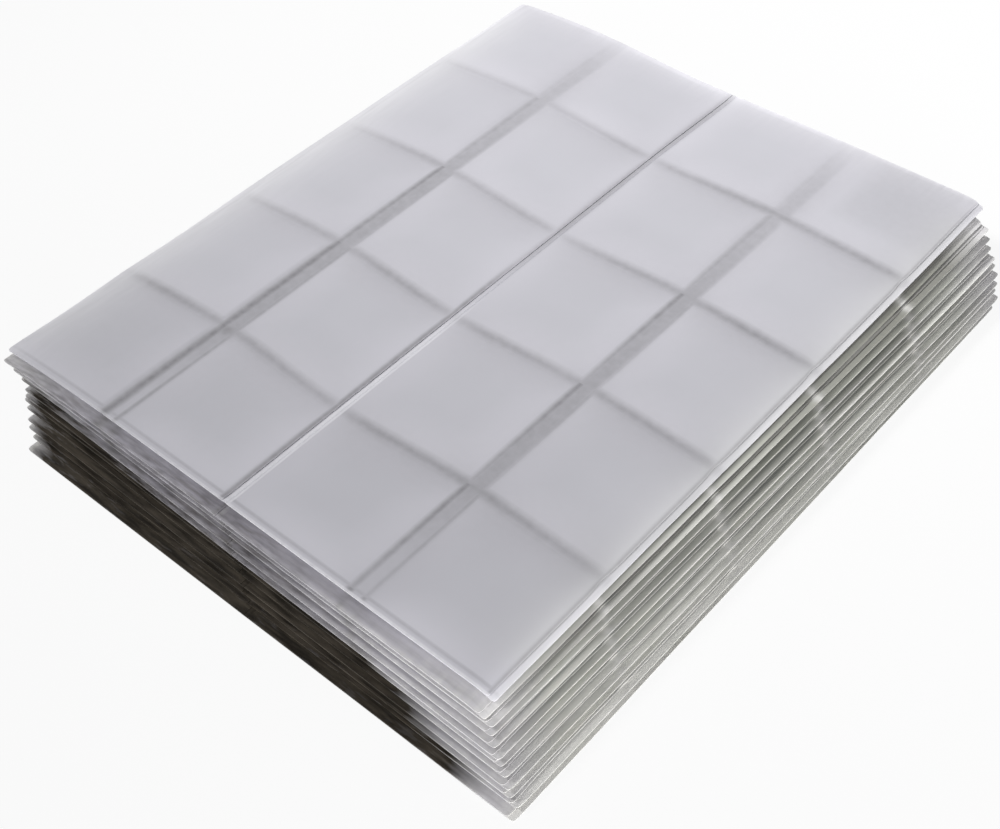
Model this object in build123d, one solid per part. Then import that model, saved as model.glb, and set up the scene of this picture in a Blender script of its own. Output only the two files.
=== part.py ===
from build123d import *
import os
from math import sin

os.makedirs("parts", exist_ok=True)

# Sizes are in millimetres. X runs across the four pockets of a sheet, Y along its five rows, Z up.
# The origin is the middle of the face that the bottom sheet rests on.

# One sheet of uncut coin flips
sheet_width = 205.0
sheet_length = 254.0
corner_radius = 1.2
film = 0.3
pocket_rise = 1.8
shoulder = 8.0
sheet_height = 2 * film + pocket_rise

# Lines of one sheet, measured from its middle
fold_offset = 52.0
fold_band = 6.0
row_pitch = 52.0
row_weld = 2.4
end_weld = 2.0
mouth_lip = 2.0
middle_slit = 2.0

# The top sheet folds, so its films part along the two folds
fold_gap = 0.4
fold_clearance = 0.4
fold_axis_height = sheet_height + fold_clearance / 2

# The pile: each sheet lies a little further back and to the left than the one below it,
# and all but the bottom and the top one lie slightly turned
sheet_count = 12
lie_gap = 0.1
sheet_pitch = sheet_height + lie_gap
lean_left = 16.6
lean_left_curve = 1.3
lean_back = 9.6
lean_back_curve = 0.6
top_push = 2.8
lie_scatter = 0.5
lie_turn = 0.8
lie_wobble = 0.15
lie_settle = 6

# A cutter that is larger than any sheet
beyond = 2 * sheet_length


def row_spans():
    """The low and high Y of each of the five pocket rows, between the welds."""
    welds = [row_pitch * step for step in (-1.5, -0.5, 0.5, 1.5)]
    lows = [end_weld - sheet_length / 2] + [weld + row_weld / 2 for weld in welds]
    highs = [weld - row_weld / 2 for weld in welds] + [sheet_length / 2 - end_weld]
    return list(zip(lows, highs))


def pillow(weld_x, mouth_x, row, base):
    """The form of one pocket: it rises from three welded sides and stays open at its mouth."""
    low_y, high_y = row
    across = abs(mouth_x - weld_x)
    along = high_y - low_y
    crown_low = shoulder if mouth_x > weld_x else 0
    crown_high = crown_low + across - shoulder
    form = Wedge(across, pocket_rise, along, crown_low, shoulder, crown_high, along - shoulder)
    middle = Pos((weld_x + mouth_x) / 2, (low_y + high_y) / 2, base + pocket_rise / 2)
    return middle * Rot(90, 0, 0) * form


def pocket_forms(base, overrun):
    """All ten pockets of the right half of a sheet, each run past its mouth by the overrun."""
    inner_weld = fold_offset - fold_band / 2
    inner_mouth = middle_slit / 2 - overrun
    outer_weld = fold_offset + fold_band / 2
    outer_mouth = sheet_width / 2 - mouth_lip + overrun
    forms = []
    for row in row_spans():
        forms.append(pillow(inner_weld, inner_mouth, row, base))
        forms.append(pillow(outer_weld, outer_mouth, row, base))
    return forms


def slab_between(low_x, high_x):
    """A tall slab that keeps only what lies between two X values."""
    return Pos((low_x + high_x) / 2, 0, 0) * Box(high_x - low_x, beyond, beyond)


def make_back_film():
    """The plain flat film that carries all twenty pockets."""
    outline = RectangleRounded(sheet_width, sheet_length, corner_radius)
    return extrude(outline, film)


def make_right_pocket_film():
    """The film of the right half: flat on its welds, raised over its ten pockets."""
    outline = RectangleRounded(sheet_width - 2 * mouth_lip, sheet_length, corner_radius)
    flat = Pos(0, 0, film) * extrude(outline, film) & slab_between(middle_slit / 2, sheet_width)
    raised = flat.fuse(*pocket_forms(2 * film, 0))
    return raised.cut(*pocket_forms(film, 1.0))


def place_of(index):
    """Where a sheet lies in the pile, counted from zero at the bottom."""
    share = index / (sheet_count - 1)
    x = -lean_left * share**lean_left_curve
    y = lean_back * share**lean_back_curve
    if index == sheet_count - 1:
        return Pos(x, y + top_push, index * sheet_pitch)
    x += lie_scatter * sin(2.3 * index)
    y += lie_scatter * sin(1.7 * index)
    turn = lie_wobble * sin(3.1 * index) - lie_turn * min(2.5 * share, 1) * (1 - share**lie_settle)
    return Pos(x, y, index * sheet_pitch) * Rot(0, 0, turn)


def write(shape, node):
    """Write one node to its own file."""
    export_step(shape, f"parts/{node}.step")


back_film = make_back_film()
right_pocket_film = make_right_pocket_film()
left_pocket_film = mirror(right_pocket_film, about=Plane.YZ)

# The loose sheets under the top one
for index in range(sheet_count - 1):
    place = place_of(index)
    sheet = f"sheet_{index + 1:02d}"
    write(place * back_film, f"{sheet}_back_film")
    write(place * left_pocket_film, f"{sheet}_left_pocket_film")
    write(place * right_pocket_film, f"{sheet}_right_pocket_film")

# The top sheet, in a middle panel and two outer panels that fold over it
top_place = place_of(sheet_count - 1)
fold_edge = fold_offset - fold_gap / 2
wing_edge = fold_offset + fold_gap / 2
middle_panel = slab_between(-fold_edge, fold_edge)
left_panel = slab_between(-beyond, -wing_edge)
right_panel = slab_between(wing_edge, beyond)
write(top_place * (back_film & middle_panel), "top_sheet_middle_back_film")
write(top_place * (back_film & left_panel), "top_sheet_left_back_film")
write(top_place * (back_film & right_panel), "top_sheet_right_back_film")
write(top_place * (left_pocket_film & left_panel), "top_sheet_left_outer_pocket_film")
write(top_place * (left_pocket_film & middle_panel), "top_sheet_left_inner_pocket_film")
write(top_place * (right_pocket_film & middle_panel), "top_sheet_right_inner_pocket_film")
write(top_place * (right_pocket_film & right_panel), "top_sheet_right_outer_pocket_film")
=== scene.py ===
from math import cos, exp, hypot, pi, radians, sin

import bpy
from mathutils import Matrix, Quaternion, Vector


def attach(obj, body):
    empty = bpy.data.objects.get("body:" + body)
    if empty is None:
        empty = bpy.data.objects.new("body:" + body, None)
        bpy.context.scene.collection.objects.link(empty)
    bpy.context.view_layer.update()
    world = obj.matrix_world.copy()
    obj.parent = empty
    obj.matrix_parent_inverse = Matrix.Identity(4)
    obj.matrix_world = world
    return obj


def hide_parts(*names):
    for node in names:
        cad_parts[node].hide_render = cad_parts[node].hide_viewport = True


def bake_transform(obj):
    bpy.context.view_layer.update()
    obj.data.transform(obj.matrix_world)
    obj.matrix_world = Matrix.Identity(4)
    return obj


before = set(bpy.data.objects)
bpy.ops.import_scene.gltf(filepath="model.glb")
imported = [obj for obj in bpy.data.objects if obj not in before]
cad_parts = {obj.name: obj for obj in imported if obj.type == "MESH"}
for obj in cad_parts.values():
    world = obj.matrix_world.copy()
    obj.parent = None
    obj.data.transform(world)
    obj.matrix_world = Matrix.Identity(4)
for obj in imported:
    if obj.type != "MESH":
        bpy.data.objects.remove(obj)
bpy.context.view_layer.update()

# Sizes in metres, as in the solids
sheet_width = 0.205
sheet_length = 0.254
corner_radius = 0.0012
film = 0.0003
pocket_rise = 0.0018
fold_offset = 0.052
fold_band = 0.006
row_pitch = 0.052
row_weld = 0.0024
end_weld = 0.002
mouth_lip = 0.002
middle_slit = 0.002
sheet_height = 2 * film + pocket_rise
sheet_count = 12
lie_gap = 0.0001
sheet_pitch = sheet_height + lie_gap
lean_left = 0.0166
lean_left_curve = 1.3
lean_back = 0.0096
lean_back_curve = 0.6
top_push = 0.0028
lie_scatter = 0.0005
lie_turn = 0.8
lie_wobble = 0.15
lie_settle = 6

# How the soft film differs from the solids
shoulder = 0.016
end_curl = 0.0004
curl_reach = 0.006
lip_bulge = 0.0005
lip_sag = 0.0014
sag_reach = 0.008
notch_depth = 0.0004
notch_reach = 0.0035
notch_inset = 0.006
mouth_reach = 0.009
top_fullness = 0.7
least_fullness = 0.7
shut_gape = 0.08
least_gape = 0.25
slit_rise = 0.00025
corner_pull = 0.005
weld_bow = 0.0025
left_settle = 0.09
far_dip = 0.06
far_lift = 0.05
edge_slack = 0.0002
sharp_angle = 50

half_width = sheet_width / 2
half_length = sheet_length / 2
outer_mouth = half_width - mouth_lip
inner_mouth = middle_slit / 2
row_welds = [row_pitch * step for step in (-1.5, -0.5, 0.5, 1.5)]
columns_of_pockets = [
    (fold_offset - fold_band / 2, inner_mouth),
    (fold_offset + fold_band / 2, outer_mouth),
]


def chance(*seeds):
    """A fixed value from 0 to 1 that looks random."""
    mixed_seed = sum((12.9898 + 65.2434 * place) * seed for place, seed in enumerate(seeds))
    return (sin(mixed_seed) * 43758.5453) % 1


def smooth(value):
    """0 below 0, 1 above 1 and an easy curve between."""
    share = min(max(value, 0), 1)
    return share * share * (3 - 2 * share)


def rise(value, start, width):
    """0 up to a start, 1 beyond a width after it and an easy curve between."""
    return smooth((value - start) / width)


def fade(distance, reach):
    """1 at no distance, fading away with it."""
    return exp(-distance / reach)


def bell(distance, reach):
    """1 at no distance, fading on both sides."""
    return exp(-((distance / reach) ** 2))


def place_of(index):
    """Where a sheet lies in the pile, counted from zero at the bottom."""
    share = index / (sheet_count - 1)
    x = -lean_left * share**lean_left_curve
    y = lean_back * share**lean_back_curve
    z = index * sheet_pitch
    if index == sheet_count - 1:
        return Matrix.Translation((x, y + top_push, z))
    x += lie_scatter * sin(2.3 * index)
    y += lie_scatter * sin(1.7 * index)
    turn = lie_wobble * sin(3.1 * index) - lie_turn * min(2.5 * share, 1) * (1 - share**lie_settle)
    return Matrix.Translation((x, y, z)) @ Matrix.Rotation(radians(turn), 4, "Z")


# The pattern of welds and pockets on one sheet


def row_spans():
    """The low and high Y of each of the five pocket rows, between the welds."""
    lows = [end_weld - half_length] + [weld + row_weld / 2 for weld in row_welds]
    highs = [weld - row_weld / 2 for weld in row_welds] + [half_length - end_weld]
    return list(zip(lows, highs))


spans = row_spans()


def row_at(y):
    """The number of the pocket row at Y and how far across it, or nothing on a weld."""
    for row, (low, high) in enumerate(spans):
        if low <= y <= high:
            return row, (y - low) / (high - low)
    return None, 0


def ramp(distance):
    """From 0 at a weld to 1 on the crown of a pocket, rounded like an air cushion."""
    share = min(max(distance / shoulder, 0), 1)
    return 1 - (1 - share) ** 2


def fullness_of(index, row, side):
    """How full a pocket stands: the same all over the top sheet, by chance on the others."""
    if index == sheet_count - 1:
        return top_fullness
    return least_fullness + (1 - least_fullness) * chance(index, row, side)


def gape_of(index, row, side):
    """How far an outer mouth stands open: nearly shut on the upper sheets, by chance further down."""
    if index > sheet_count - 4:
        return shut_gape
    return least_gape + (1 - least_gape) * chance(row, index, side)


def puff(x, y, index):
    """How far a pocket rises at a point, from 0 to 1."""
    row = row_at(y)[0]
    if row is None:
        return 0
    low, high = spans[row]
    rounding = 1e-6
    for column, (weld, mouth) in enumerate(columns_of_pockets):
        if min(weld, mouth) - rounding <= abs(x) <= max(weld, mouth) + rounding:
            side = column if x > 0 else column + 2
            gape = 0 if column == 0 else gape_of(index, row, side)
            closing = 1 - (1 - gape) * fade(abs(abs(x) - mouth), mouth_reach)
            cushion = ramp(abs(abs(x) - weld)) * ramp(min(y - low, high - y))
            return fullness_of(index, row, side) * closing * cushion
    return 0


def pocket_share(x, y):
    """From 0 at the border of a pocket to 1 over most of it."""
    row = row_at(y)[0]
    if row is None:
        return 0
    low, high = spans[row]
    for weld, mouth in columns_of_pockets:
        if min(weld, mouth) <= abs(x) <= max(weld, mouth):
            border = min(abs(abs(x) - weld), abs(abs(x) - mouth), y - low, high - y)
            return rise(border, start=0, width=shoulder)
    return 0


def notch(y):
    """How far the mouth of the pockets draws back beside each row weld."""
    return max(bell(y - weld, notch_reach) for weld in row_welds)


def near_part(y, middle, width):
    """1 towards the near end of a sheet, 0 towards its far end, changing over about a middle."""
    return 1 - smooth((y - middle) / width + 0.5)


# Where the films are grey at the welds and painted with shade, from 0 to 1


def slit_shade(x, y):
    """Painted shadow of the slit: a line at the edge of the left film, and a wider soft line further
    back.
    """
    near = near_part(y, middle=0.005, width=0.05)
    edge_line = 0.85 * bell(x + 0.0017, reach=0.0009)
    soft_line = 0.6 * bell(x + 0.0006, reach=0.0017)
    return max(near * edge_line, (1 - near) * soft_line)


def fold_shade(away, y, extra):
    """Grey of a fold band with painted shade: a strong line at its left edge darkened by painted shade, a
    weak line at its right edge, a strip between and soft painted shade beside it, all softer further
    back.
    """
    row, along = row_at(y)
    far = rise(y, start=0.01, width=0.1)
    extra *= near_part(y, middle=-0.02, width=0.08)
    in_row = 1 if row is None else 0.6 + 0.4 * along
    strength = min(in_row * (1 - 0.5 * far) + extra, 1)
    line_reach = 0.0013 + 0.001 * far + 0.002 * extra
    left_line = 0.95 * strength * bell(away + 0.0025, line_reach)
    right_line = 0.65 * strength * (1 - far) * bell(away - 0.0026, reach=0.001)
    strip = 0.6 - 0.4 * near_part(y, middle=-0.095, width=0.05) - 0.2 * far
    strip *= 1 - rise(abs(away), start=0.0016 - 0.0006 * far, width=0.0026 + 0.0022 * far)
    soft_painted_shade = 0
    if abs(away) > fold_band / 2:
        soft_painted_shade = (0.1 + 0.15 * far) * fade(abs(away) - fold_band / 2, reach=0.006)
    towards_end = 1 - 0.5 * rise(y, start=0.1, width=0.025)
    return towards_end * max(left_line, right_line, strip, soft_painted_shade)


def row_weld_shade(x, y):
    """Grey of the row welds: uneven lines with soft painted shade at their sides, further back darker to
    the right.
    """
    mouth_gap = min(abs(outer_mouth - abs(x)), abs(abs(x) - inner_mouth))
    at_mouth = 1 - 0.5 * fade(mouth_gap, reach=0.004)
    shade = 0
    for number, weld in enumerate(row_welds):
        away = y - weld
        from_line = away - 0.0012
        line = bell(from_line, reach=0.0021 if from_line > 0 else 0.003)
        soft_painted_shade = 0.4 * fade(abs(away), reach=0.008)
        strength = 0.64 - 0.04 * number + 0.085 * number * x / half_width
        uneven = 0.06 * sin(46 * x + 2.2 * number) + 0.05 * sin(131 * x + 5.1 * number)
        shade = max(shade, max(line, soft_painted_shade) * (strength + uneven) * at_mouth)
    return shade


def painted_pocket_shade(x, y):
    """Painted shade on the pockets at the far right and at the near left."""
    far_right = 0.22 * rise(x, start=0.055, width=0.02) * rise(y, start=0.08, width=0.02)
    near_left = 0.1 * rise(-x, start=0, width=0.03) * near_part(y, middle=-0.07, width=0.04)
    return max(far_right, near_left)


def seam_shade(x, y):
    """Grey of all the welds, with painted shade beside them, painted shadow at the edges of the pocket
    films and painted shade on some pockets.
    """
    left_fold = fold_shade(x + fold_offset, y, extra=0.35)
    right_fold = fold_shade(x - fold_offset, y, extra=0)
    crossing = 0.8 * bell(hypot(x + fold_offset, y - row_welds[0]), reach=0.005)
    near_end = 0.45 * bell(y + half_length - 0.0022, reach=0.0005)
    # Painted shadow under the mouth edge of the pocket films, fainter on the left.
    mouth_edge_shadow = (0.55 if x > 0 else 0.2) * bell(outer_mouth - abs(x) - 0.0004, reach=0.0006)
    lines = max(slit_shade(x, y), left_fold, right_fold, crossing, near_end, mouth_edge_shadow)
    return max(lines, row_weld_shade(x, y), painted_pocket_shade(x, y))


# Where light is painted on the films, from 0 to 1


def pinch(y):
    """1 beside a row weld, where the films are pinched together at the open side."""
    return max(bell(y - weld, reach=0.0022) for weld in row_welds)


def cut_edge(from_end):
    """1 on the cut edge of a film, 0 from about a millimetre in."""
    return 1 - rise(from_end, start=0.0003, width=0.0008)


def towards_right(x):
    """Low at the left side of a sheet, 1 towards its right side."""
    return 0.3 + 0.7 * rise(x, start=-half_width, width=0.14)


def painted_top_light(x, y):
    """Painted light of the top sheet: highlights on its cut edges and lips, a pale left side and far end,
    and a bright strip in the slit.
    """
    near = near_part(y, middle=-0.06, width=0.08)
    end = 0.85 * towards_right(x) * cut_edge(half_length - abs(y))
    side = (0.5 + 0.4 * near) * bell(half_width - abs(x), reach=0.0012)
    left_side = 0.75 * fade(x + half_width, reach=0.007)
    far_end = 0.6 * fade(half_length - y, reach=0.005)
    painted_light = max(end, side, left_side, far_end)
    if abs(x) > outer_mouth + edge_slack:
        painted_light = max(painted_light, 0.2 + 0.4 * near)
    if -0.0004 < x < inner_mouth + 0.0006:
        painted_light = max(painted_light, 0.7 * near_part(y, middle=-0.026, width=0.04))
    return painted_light


def painted_rim_light(x, y, index):
    """Painted light of the cut edges and of the thin clear rims, with more painted light at the corners,
    the lips, the slit, the far tips, beside the row welds and along the sides of the lowest sheets.
    """
    below = sheet_count - 1 - index
    if below == 0:
        return painted_top_light(x, y)
    from_end = half_length - abs(y)
    from_side = half_width - abs(x)
    near = near_part(y, middle=-0.015, width=0.09)
    low = rise(below, start=5, width=6)
    end = 0.3 * towards_right(x) + 0.35 * rise(x, start=0.02, width=0.06)
    side = 0.95 if below > 3 else 0.35 + 0.6 * near
    corner = 0.7 * fade(from_side + from_end, reach=0.03)
    low_side = 0.45 * low * fade(from_side, reach=0.01)
    far_tip = 0.9 * fade(half_length - y, reach=0.012) if below > 2 else 0
    pinched = fade(from_side, reach=0.012) * max(pinch(y), far_tip)
    painted_light = max(end * cut_edge(from_end), side * bell(from_side, reach=0.0008), corner, low_side, pinched)
    if abs(x) > outer_mouth - edge_slack:
        painted_light = max(painted_light, 0.08 + 0.22 * near + 0.65 * low)
    if abs(x) < inner_mouth:
        painted_light = max(painted_light, 0.3)
    return painted_light


# Where shade is painted on the rims of the loose sheets, from 0 to 1


def lit_sheets(x):
    """How many sheets down from the top the ends of the pile still look light."""
    share = (x + half_width) / sheet_width
    past_left_corner = 3.2 * (1 - fade(share, reach=0.15))
    at_right_corner = 7 * max((share - 0.74) / 0.2, 0) ** 1.6
    return 1.8 + past_left_corner + at_right_corner


def step_back(index):
    """How far the next sheet up lies further back."""
    return max(place_of(index + 1).translation.y - place_of(index).translation.y, 0)


def rim_only(distance, reach):
    """1 at a rim of a loose sheet, 0 further in, where only a lifted sheet is seen."""
    return 1 - rise(distance, start=reach, width=0.002)


def painted_half_shade(x, y, below):
    """Painted half shade between the rims at an end of the pile, weaker towards its right corners."""
    right = rise(x, start=0.01, width=0.075)
    past_rim = rise(half_length - abs(y), start=0.0004, width=0.0012)
    strength = 0.27 + 0.18 * rise(x, start=-0.05, width=0.06) + 0.15 * rise(below, start=1, width=3)
    return strength * (1 - 0.7 * right) * max(past_rim, 0.75 * (1 - right))


def painted_side_shade(x, y, below):
    """Painted shade in the gaps at the open sides, strongest a few sheets down."""
    from_side = half_width - abs(x)
    from_end = half_length - abs(y)
    lip_reach = 0.004 - 0.0022 * rise(y, start=0.03, width=0.05)
    depth = (0.15 + 0.5 * bell(below - 3, reach=3.5)) * (1 - fade(from_side, lip_reach))
    depth *= rise(from_end, start=0, width=0.09) * (1 - 0.25 * near_part(y, middle=-0.02, width=0.06))
    if below < 3:
        # On the two upper loose sheets: painted shadow under the lip of the sheet above, and painted
        # shade away from the middle of the side.
        painted_lip_shadow = (0.75 if below == 1 else 0.6) * rise(from_side, start=0.0008, width=0.0012)
        away_from_middle = 0.6 * (1 - bell(y + 0.025, reach=0.05))
        depth = max(depth, painted_lip_shadow, away_from_middle) * rise(from_end, start=0.004, width=0.012)
    depth *= (1 - 0.55 * pinch(y)) * (1 - 0.35 * near_part(y, middle=-0.085, width=0.05))
    return depth * rim_only(from_side, reach=0.003)


def painted_end_shade(x, y, index):
    """Painted shade in the gaps at the ends of the pile, under the sheets that still look light."""
    below = sheet_count - 1 - index
    depth = rise(below + 0.9, start=lit_sheets(x), width=2.2) * (1 - 0.05 * rise(below, start=8, width=2))
    depth = max(depth, painted_half_shade(x, y, below)) * (1 - fade(half_width - abs(x), reach=0.005))
    return depth * rim_only(half_length - abs(y), reach=0.002 + step_back(index))


def painted_shade_in_pile(x, y, index):
    """Painted shade: 0 where daylight reaches a film, towards 1 in the gaps between the rims of the loose
    sheets.
    """
    below = sheet_count - 1 - index
    if below == 0:
        return 0
    return max(painted_side_shade(x, y, below), painted_end_shade(x, y, index))


def painted_shade_mottle(x, y, index):
    """Where the painted shade at the ends of the loose sheets is made blotchy."""
    if index == sheet_count - 1:
        return 0
    return fade(half_length - abs(y), reach=0.006) * (1 - 0.6 * rise(x, start=-0.02, width=0.09))


def side_tint(x, y):
    """1 at the open sides, where the light comes out greenish."""
    return fade(half_width - abs(x), reach=0.007) * rise(half_length - abs(y), start=0, width=0.02)


# The meshes of the films


def unique(lines):
    """The lines in order, with no two closer than a hundredth of a millimetre."""
    closest = 1e-5
    kept = []
    for line in sorted(lines):
        if not kept or line - kept[-1] > closest:
            kept.append(line)
    return kept


def around(centre, offsets):
    """Lines on both sides of a centre."""
    return [centre + offset for offset in offsets] + [centre - offset for offset in offsets]


def weld_offsets(fine):
    """How far from a weld's middle the grid lines lie."""
    if fine:
        return [0, 0.0005, 0.0009, 0.0012, 0.0018, 0.0026, 0.004, 0.0065, 0.0105, 0.0165]
    return [0.0005, 0.0012, 0.0022, 0.004, 0.008]


def fold_offsets(fine):
    """How far from a fold's middle the grid lines lie."""
    if fine:
        return [0.0005 * step for step in range(7)] + [0.0036, 0.0044, 0.0062, 0.0105, 0.0175]
    return [0.0012, 0.003, 0.006, 0.0115]


def rim_offsets(fine):
    """How far inside an end or a mouth the grid lines lie."""
    if fine:
        return [0, 0.0005, 0.001, 0.0015, 0.002, 0.0025, 0.003, 0.0045, 0.007, 0.0105, 0.0165]
    return [0, 0.0005, 0.0015, 0.002, 0.004, 0.006, 0.009]


def row_lines(fine):
    """Grid lines along the sheet."""
    lines = [half_length - offset for offset in rim_offsets(fine)]
    lines += [offset - half_length for offset in rim_offsets(fine)]
    for weld in row_welds:
        lines += around(weld, weld_offsets(fine))
    lines += [(low + high) / 2 for low, high in spans]
    return unique(lines)


def pocket_columns(fine):
    """Grid lines across the pocket film of the right half."""
    lines = around(fold_offset, fold_offsets(fine))
    lines += [inner_mouth + offset for offset in rim_offsets(fine)]
    lines += [outer_mouth - offset for offset in rim_offsets(fine)]
    lines += [(weld + mouth) / 2 for weld, mouth in columns_of_pockets]
    return unique(lines)


def back_columns(fine):
    """Grid lines across the right half of a back film."""
    lines = around(fold_offset, fold_offsets(fine))
    lines += [half_width - offset for offset in rim_offsets(fine)]
    under_slit = [0, 0.0003, 0.0006, inner_mouth, 0.0014]
    mid_pocket = sum(columns_of_pockets[0]) / 2
    return unique(lines + under_slit + [mid_pocket])


def settled(point):
    """The point where the soft pile really lies: lower at its left side, wavy along its far side."""
    far = rise(point.y, start=0.085, width=0.055)
    past_left = max((-0.068 - point.x) / 0.05, 0)
    dip = far_dip * bell(point.x + 0.032, reach=0.035)
    lift = far_lift * rise(point.x, start=0, width=0.085)
    height = 1 - left_settle * past_left**2 + far * (lift - dip)
    return Vector((point.x, point.y, point.z * height))


def pulled(point, index):
    """The point of a film, drawn in at the near left corners of a few sheets under the upper ones."""
    corner = rise(-point.x, start=0.05, width=0.06) * rise(-point.y, start=0.03, width=0.09)
    pull = corner_pull * corner * bell(index - 7.2, reach=1.5)
    return Vector((point.x + pull, point.y, point.z))


def sag(x, index):
    """How far the right lips of the two upper sheets hang down."""
    if index < sheet_count - 2:
        return 0
    return lip_sag * (max(x - half_width + sag_reach, 0) / sag_reach) ** 2


def curl(x, y, index):
    """How far the rim of a sheet lifts or drops, a little differently on each sheet."""
    end = max(abs(y) - (half_length - curl_reach), 0) / curl_reach
    side = max(abs(x) - outer_mouth, 0) / mouth_lip
    waves = sin(28 * x + 1.9 * index) * sin(4.1 * index + 1)
    by_end = end_curl * end**2 * waves
    row, along = row_at(y)
    by_side = 0
    if row is not None:
        swing = 2 * chance(index, row, 5 if x > 0 else 6) - 1
        by_side = lip_bulge * side**2 * swing * sin(pi * along)
    lift = by_end + by_side - sag(x, index)
    return max(lift, 0) if index == 0 else lift


def rounded(x, y, edge):
    """Pull a grid point in so that the film's corner is round."""
    dx = abs(x) - (edge - corner_radius)
    dy = abs(y) - (half_length - corner_radius)
    if dx <= 0 or dy <= 0:
        return x, y
    pull = max(dx, dy) / hypot(dx, dy)
    x_sign = 1 if x > 0 else -1
    y_sign = 1 if y > 0 else -1
    return x - x_sign * dx * (1 - pull), y - y_sign * dy * (1 - pull)


def notched(x, y):
    """Draw the mouths of a pocket film back beside the row welds."""
    side = 1 if x > 0 else -1
    away = abs(x)
    outer = max(1 - (outer_mouth - away) / notch_inset, 0)
    return side * (away - notch_depth * notch(y) * outer)


def bowed(x, y):
    """Y of a point of the soft film, whose row welds bow between the folds."""
    wave = (1 - cos(pi * (abs(x) - fold_offset) / fold_offset)) / 2
    depth = weld_bow if abs(x) < fold_offset else weld_bow / 2
    return y - depth * wave * rise(half_length - abs(y), start=0, width=0.05)


def film_point(x, y, level, index, pockets):
    """A point of a film in its sheet, from its place on the grid."""
    z = level + curl(x, y, index)
    if pockets:
        z += film + pocket_rise * puff(x, y, index)
        rx, ry = rounded(x, y, outer_mouth)
        return Vector((notched(rx, ry), bowed(rx, ry), z))
    if index == sheet_count - 1:
        z += slit_rise * rise(inner_mouth - abs(x), start=0, width=0.0004)
    rx, ry = rounded(x, y, half_width)
    return Vector((rx, bowed(rx, ry), z))


def grid_faces(wide, tall):
    """Faces of a closed film: its lower side, its upper side and the rim between."""
    upper = wide * tall
    faces = []
    for i in range(wide - 1):
        for j in range(tall - 1):
            a = i * tall + j
            b = a + tall
            faces.append((a, a + 1, b + 1, b))
            faces.append((upper + a, upper + b, upper + b + 1, upper + a + 1))
    edge = [i * tall for i in range(wide)]
    edge += [(wide - 1) * tall + j for j in range(1, tall)]
    edge += [i * tall + tall - 1 for i in range(wide - 2, -1, -1)]
    edge += list(range(tall - 2, 0, -1))
    for a, b in zip(edge, edge[1:] + edge[:1]):
        faces.append((a, b, upper + b, upper + a))
    return faces


def film_piece(name, columns, rows, index, pockets):
    """A thin closed film over a grid, laid at its place in the pile."""
    place = place_of(index)
    grid = [(x, y) for x in columns for y in rows]
    points = []
    for level in (0, film):
        for x, y in grid:
            points.append(settled(pulled(place @ film_point(x, y, level, index, pockets), index)))
    mesh = bpy.data.meshes.new(name)
    mesh.from_pydata(points, [], grid_faces(len(columns), len(rows)))
    values = {
        "pocket": [pocket_share(x, y) for x, y in grid],
        "shade": [seam_shade(x, y) for x, y in grid],
        "painted_light": [painted_rim_light(x, y, index) for x, y in grid],
        "painted_gap_shade": [painted_shade_in_pile(x, y, index) for x, y in grid],
        "tint": [side_tint(x, y) for x, y in grid],
        "painted_shade_mottle": [painted_shade_mottle(x, y, index) for x, y in grid],
    }
    for label, numbers in values.items():
        layer = mesh.attributes.new(label, "FLOAT", "POINT")
        layer.data.foreach_set("value", numbers + numbers)
    mesh.polygons.foreach_set("use_smooth", [True] * len(mesh.polygons))
    mesh.set_sharp_from_angle(angle=radians(sharp_angle))
    piece = bpy.data.objects.new(name, mesh)
    bpy.context.scene.collection.objects.link(piece)
    return piece


# Materials


def fresh_tree(material):
    """The empty node tree of a new material, with its output."""
    material.use_nodes = True
    tree = material.node_tree
    tree.nodes.clear()
    return tree, tree.nodes.new("ShaderNodeOutputMaterial")


def attribute(tree, label):
    """The value that the mesh stores under a name."""
    node = tree.nodes.new("ShaderNodeAttribute")
    node.attribute_name = label
    return node.outputs["Fac"]


def mixed(tree, share, first, second):
    """A colour between two, each a colour or a socket."""
    node = tree.nodes.new("ShaderNodeMix")
    node.data_type = "RGBA"
    tree.links.new(share, node.inputs["Factor"])
    for value, socket in ((first, node.inputs["A"]), (second, node.inputs["B"])):
        if isinstance(value, tuple):
            socket.default_value = (*value, 1)
        else:
            tree.links.new(value, socket)
    return node.outputs["Result"]


def noise(tree, scale, detail, longer_x=1, longer_y=1):
    """A soft random pattern in the object's own space, drawn out along X or Y."""
    place = tree.nodes.new("ShaderNodeTexCoord")
    longer = tree.nodes.new("ShaderNodeMapping")
    longer.inputs["Scale"].default_value = (1 / longer_x, 1 / longer_y, 1)
    node = tree.nodes.new("ShaderNodeTexNoise")
    node.inputs["Scale"].default_value = scale
    node.inputs["Detail"].default_value = detail
    tree.links.new(place.outputs["Object"], longer.inputs["Vector"])
    tree.links.new(longer.outputs["Vector"], node.inputs["Vector"])
    return node.outputs["Fac"]


def ranged(tree, value, low, high, start=0, end=1):
    """A value between start and end spread over another range."""
    node = tree.nodes.new("ShaderNodeMapRange")
    node.inputs["From Min"].default_value = start
    node.inputs["From Max"].default_value = end
    node.inputs["To Min"].default_value = low
    node.inputs["To Max"].default_value = high
    tree.links.new(value, node.inputs["Value"])
    return node.outputs["Result"]


def blotched(tree, value, share):
    """A value made uneven by a soft pattern where the share is high."""
    spread = tree.nodes.new("ShaderNodeMath")
    spread.operation = "MULTIPLY"
    blots = noise(tree, scale=900, detail=3, longer_x=6)
    tree.links.new(ranged(tree, blots, low=0, high=0.42, start=0.34, end=0.68), spread.inputs[0])
    tree.links.new(share, spread.inputs[1])
    total = tree.nodes.new("ShaderNodeMath")
    total.use_clamp = True
    tree.links.new(value, total.inputs[0])
    tree.links.new(spread.outputs[0], total.inputs[1])
    return total.outputs[0]


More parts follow.
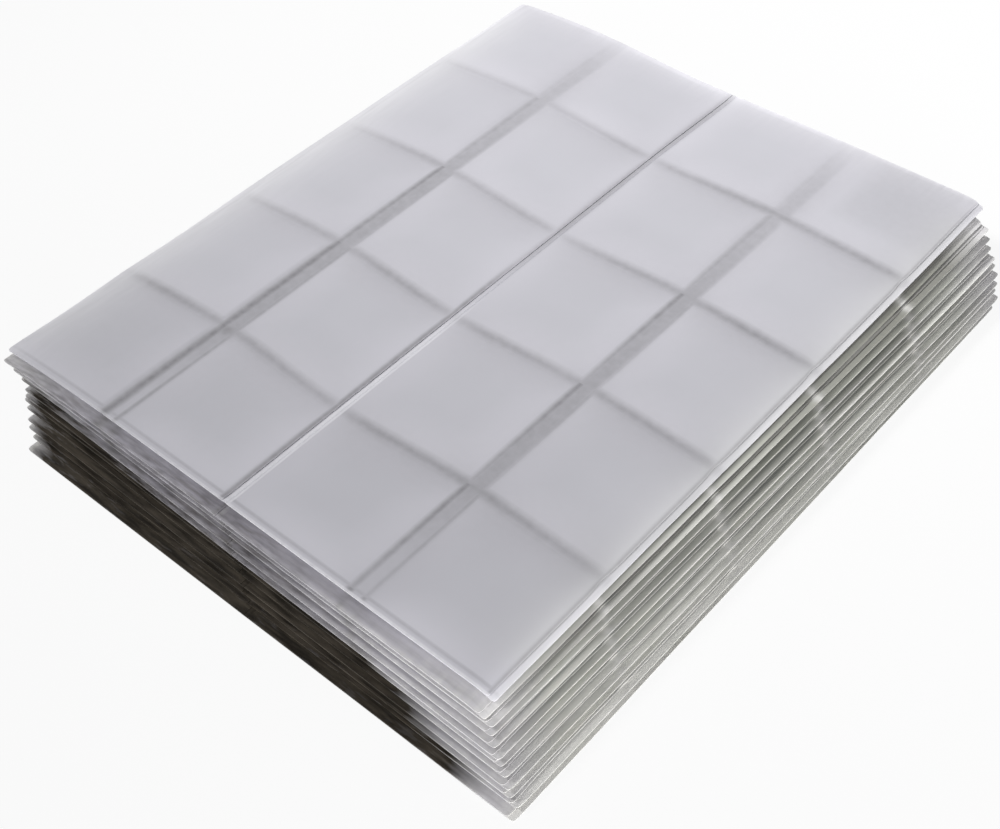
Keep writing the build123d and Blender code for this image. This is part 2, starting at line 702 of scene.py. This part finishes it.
def ragged(tree, value, pattern, low, high):
    """A value made a little stronger and weaker by a fine pattern."""
    product = tree.nodes.new("ShaderNodeMath")
    product.operation = "MULTIPLY"
    product.use_clamp = True
    tree.links.new(value, product.inputs[0])
    tree.links.new(ranged(tree, pattern, low, high, start=0.3, end=0.7), product.inputs[1])
    return product.outputs[0]


def vinyl(name, border, middle, weld_and_shade_grey, painted_light, side, painted_dark):
    """Frosted clear vinyl: lilac grey pockets, grey welds with painted shade beside them, painted light
    on the pale rims, painted shade in the gaps of the pile.
    """
    material = bpy.data.materials.new(name)
    tree, output = fresh_tree(material)
    shader = tree.nodes.new("ShaderNodeBsdfPrincipled")
    shader.inputs["IOR"].default_value = 1.53
    colour = mixed(tree, attribute(tree, "pocket"), border, middle)
    colour = mixed(tree, attribute(tree, "tint"), colour, side)
    clouds = ranged(tree, noise(tree, scale=30, detail=3), low=0, high=0.14)
    colour = mixed(tree, clouds, colour, weld_and_shade_grey)
    # The weld grey also serves as painted shade beside the welds and folds and as painted shadow at the
    # slit and the mouths.
    welds = ragged(tree, attribute(tree, "shade"), noise(tree, scale=380, detail=4), low=0.86, high=1.08)
    colour = mixed(tree, welds, colour, weld_and_shade_grey)
    flecks = noise(tree, scale=500, detail=3, longer_y=8)
    # Painted light: the cut edges, lips, slit and rims made paler, standing in for highlights.
    rims = ragged(tree, attribute(tree, "painted_light"), flecks, low=0.72, high=1.15)
    colour = mixed(tree, rims, colour, painted_light)
    # Painted shade: the gaps in the pile made dark brown with paler streaks, and duller in their
    # reflection.
    lighter_painted_dark = tuple(4 * part for part in painted_dark)
    strands = noise(tree, scale=700, detail=3, longer_x=8)
    painted_dark_streaks = mixed(tree, ranged(tree, strands, low=0, high=1, start=0.35, end=0.72), painted_dark, lighter_painted_dark)
    painted_gap_shade = blotched(tree, attribute(tree, "painted_gap_shade"), attribute(tree, "painted_shade_mottle"))
    colour = mixed(tree, painted_gap_shade, colour, painted_dark_streaks)
    tree.links.new(colour, shader.inputs["Base Color"])
    tree.links.new(ranged(tree, painted_gap_shade, low=0.5, high=0.1), shader.inputs["Specular IOR Level"])
    haze = ranged(tree, noise(tree, scale=160, detail=4), low=0.34, high=0.5)
    tree.links.new(haze, shader.inputs["Roughness"])
    bump = tree.nodes.new("ShaderNodeBump")
    bump.inputs["Strength"].default_value = 0.1
    bump.inputs["Distance"].default_value = 0.0004
    tree.links.new(noise(tree, scale=90, detail=5), bump.inputs["Height"])
    tree.links.new(bump.outputs["Normal"], shader.inputs["Normal"])
    tree.links.new(shader.outputs["BSDF"], output.inputs["Surface"])
    return material


# The sheets


def finish_piece(piece, material, nodes):
    """Give a piece its material and let it stand for its solids."""
    piece.data.materials.append(material)
    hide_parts(*nodes)


def mirrored(lines):
    """The same lines on the left."""
    return [-line for line in reversed(lines)]


def loose_sheet(index, material):
    """One of the sheets under the top one."""
    sheet = f"sheet_{index + 1:02d}"
    rows = row_lines(fine=False)
    right = pocket_columns(fine=False)
    half = back_columns(fine=False)
    across = unique(half + mirrored(half))
    back = film_piece(f"{sheet}_back", across, rows, index, pockets=False)
    left_film = film_piece(f"{sheet}_left_pockets", mirrored(right), rows, index, pockets=True)
    right_film = film_piece(f"{sheet}_right_pockets", right, rows, index, pockets=True)
    finish_piece(back, material, [f"{sheet}_back_film"])
    finish_piece(left_film, material, [f"{sheet}_left_pocket_film"])
    finish_piece(right_film, material, [f"{sheet}_right_pocket_film"])
    for piece in (back, left_film, right_film):
        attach(piece, sheet)


def top_half(side, name, material):
    """One half of the top sheet."""
    index = sheet_count - 1
    rows = row_lines(fine=True)
    back_lines = back_columns(fine=True)
    pocket_lines = pocket_columns(fine=True)
    back_nodes = [f"top_sheet_{name}_back_film"]
    if side < 0:
        back_lines = mirrored(back_lines)
        pocket_lines = mirrored(pocket_lines)
        back_nodes.append("top_sheet_middle_back_film")
    pocket_nodes = [f"top_sheet_{name}_inner_pocket_film", f"top_sheet_{name}_outer_pocket_film"]
    back = film_piece(f"top_sheet_{name}_back", back_lines, rows, index, pockets=False)
    pockets = film_piece(f"top_sheet_{name}_pockets", pocket_lines, rows, index, pockets=True)
    finish_piece(back, material, back_nodes)
    finish_piece(pockets, material, pocket_nodes)
    place = place_of(index)
    for piece in (back, pockets):
        if side < 0:
            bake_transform(piece)
        else:
            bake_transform(piece)


# The studio


def seen_directly(tree):
    """1 for what is seen, mirrored or seen through, 0 for soft light."""
    path = tree.nodes.new("ShaderNodeLightPath")
    either = path.outputs["Is Camera Ray"]
    for ray in ("Is Glossy Ray", "Is Transmission Ray"):
        larger = tree.nodes.new("ShaderNodeMath")
        larger.operation = "MAXIMUM"
        tree.links.new(either, larger.inputs[0])
        tree.links.new(path.outputs[ray], larger.inputs[1])
        either = larger.outputs[0]
    return either


def plain_floor():
    """A wide pale floor that keeps the shadow of the pile."""
    mesh = bpy.data.meshes.new("floor")
    reach = 6
    corners = [(-reach, -reach, 0), (reach, -reach, 0), (reach, reach, 0), (-reach, reach, 0)]
    mesh.from_pydata(corners, [], [(0, 1, 2, 3)])
    floor = bpy.data.objects.new("floor", mesh)
    bpy.context.scene.collection.objects.link(floor)
    floor.location.z = -lie_gap
    material = bpy.data.materials.new("pale_floor")
    tree, output = fresh_tree(material)
    matt = tree.nodes.new("ShaderNodeBsdfDiffuse")
    matt.inputs["Color"].default_value = (0.86, 0.86, 0.86, 1)
    white = tree.nodes.new("ShaderNodeEmission")
    mix = tree.nodes.new("ShaderNodeMixShader")
    tree.links.new(ranged(tree, seen_directly(tree), low=0, high=0.9), mix.inputs["Fac"])
    tree.links.new(matt.outputs[0], mix.inputs[1])
    tree.links.new(white.outputs[0], mix.inputs[2])
    tree.links.new(mix.outputs[0], output.inputs["Surface"])
    mesh.materials.append(material)


def studio_world():
    """Soft light from all round, and white where the camera sees past the floor."""
    world = bpy.data.worlds.new("studio")
    bpy.context.scene.world = world
    world.use_nodes = True
    tree = world.node_tree
    tree.nodes.clear()
    output = tree.nodes.new("ShaderNodeOutputWorld")
    soft = tree.nodes.new("ShaderNodeBackground")
    soft.inputs["Strength"].default_value = 0.27
    soft.inputs["Color"].default_value = (0.97, 0.98, 1.0, 1)
    white = tree.nodes.new("ShaderNodeBackground")
    white.inputs["Color"].default_value = (1, 1, 1, 1)
    mix = tree.nodes.new("ShaderNodeMixShader")
    tree.links.new(seen_directly(tree), mix.inputs["Fac"])
    tree.links.new(soft.outputs[0], mix.inputs[1])
    tree.links.new(white.outputs[0], mix.inputs[2])
    tree.links.new(mix.outputs[0], output.inputs["Surface"])


def soft_lamp(name, place, aim, size, spread, watts, mirrored_in_film):
    """A square studio lamp that points at the pile, with its spread in degrees."""
    data = bpy.data.lights.new(name, "AREA")
    data.size = size
    data.spread = radians(spread)
    data.energy = watts
    lamp = bpy.data.objects.new(name, data)
    lamp.visible_glossy = mirrored_in_film
    lamp.location = place
    lamp.rotation_euler = (Vector(aim) - Vector(place)).to_track_quat("-Z", "Y").to_euler()
    bpy.context.scene.collection.objects.link(lamp)


def photo_camera():
    """The camera of the photograph, worked out from the grid of pockets."""
    data = bpy.data.cameras.new("camera")
    data.sensor_width = 36
    data.lens = 56.41
    camera = bpy.data.objects.new("camera", data)
    look = Vector((-0.45646, 0.50426, -0.73305))
    roll = Quaternion((0, 0, 1), radians(-1.89))
    camera.location = (0.23688, -0.27545, 0.37303)
    camera.rotation_euler = (look.to_track_quat("-Z", "Y") @ roll).to_euler()
    bpy.context.scene.collection.objects.link(camera)
    bpy.context.scene.camera = camera


bpy.context.scene.view_settings.view_transform = "Standard"

# The top sheet's pocket borders are lighter than their middles: painted light on the slopes of the
# pockets.
top_vinyl = vinyl(
    "top_vinyl",
    border=(0.64, 0.63, 0.68),
    middle=(0.595, 0.59, 0.635),
    weld_and_shade_grey=(0.245, 0.24, 0.255),
    painted_light=(0.86, 0.85, 0.89),
    side=(0.62, 0.62, 0.62),
    painted_dark=(0.03, 0.025, 0.02),
)
pile_vinyl = vinyl(
    "pile_vinyl",
    border=(0.55, 0.53, 0.61),
    middle=(0.56, 0.55, 0.59),
    weld_and_shade_grey=(0.30, 0.29, 0.31),
    painted_light=(0.90, 0.89, 0.86),
    side=(0.62, 0.645, 0.535),
    painted_dark=(0.019, 0.016, 0.0125),
)

for number in range(sheet_count - 1):
    loose_sheet(number, pile_vinyl)
top_half(-1, "left", top_vinyl)
top_half(1, "right", top_vinyl)

plain_floor()
studio_world()
soft_lamp(
    "key",
    place=(-0.98, -0.91, 1.57),
    aim=(0.03, 0.32, 0.03),
    size=0.3,
    spread=27,
    watts=1.34,
    mirrored_in_film=True,
)
soft_lamp(
    "fill",
    place=(0.55, -0.45, 0.12),
    aim=(0.05, -0.05, 0.015),
    size=0.3,
    spread=180,
    watts=3.5,
    mirrored_in_film=False,
)
soft_lamp(
    "side",
    place=(0.62, 0.16, 0.055),
    aim=(0.09, 0.02, 0.012),
    size=0.1,
    spread=120,
    watts=0.45,
    mirrored_in_film=False,
)
photo_camera()
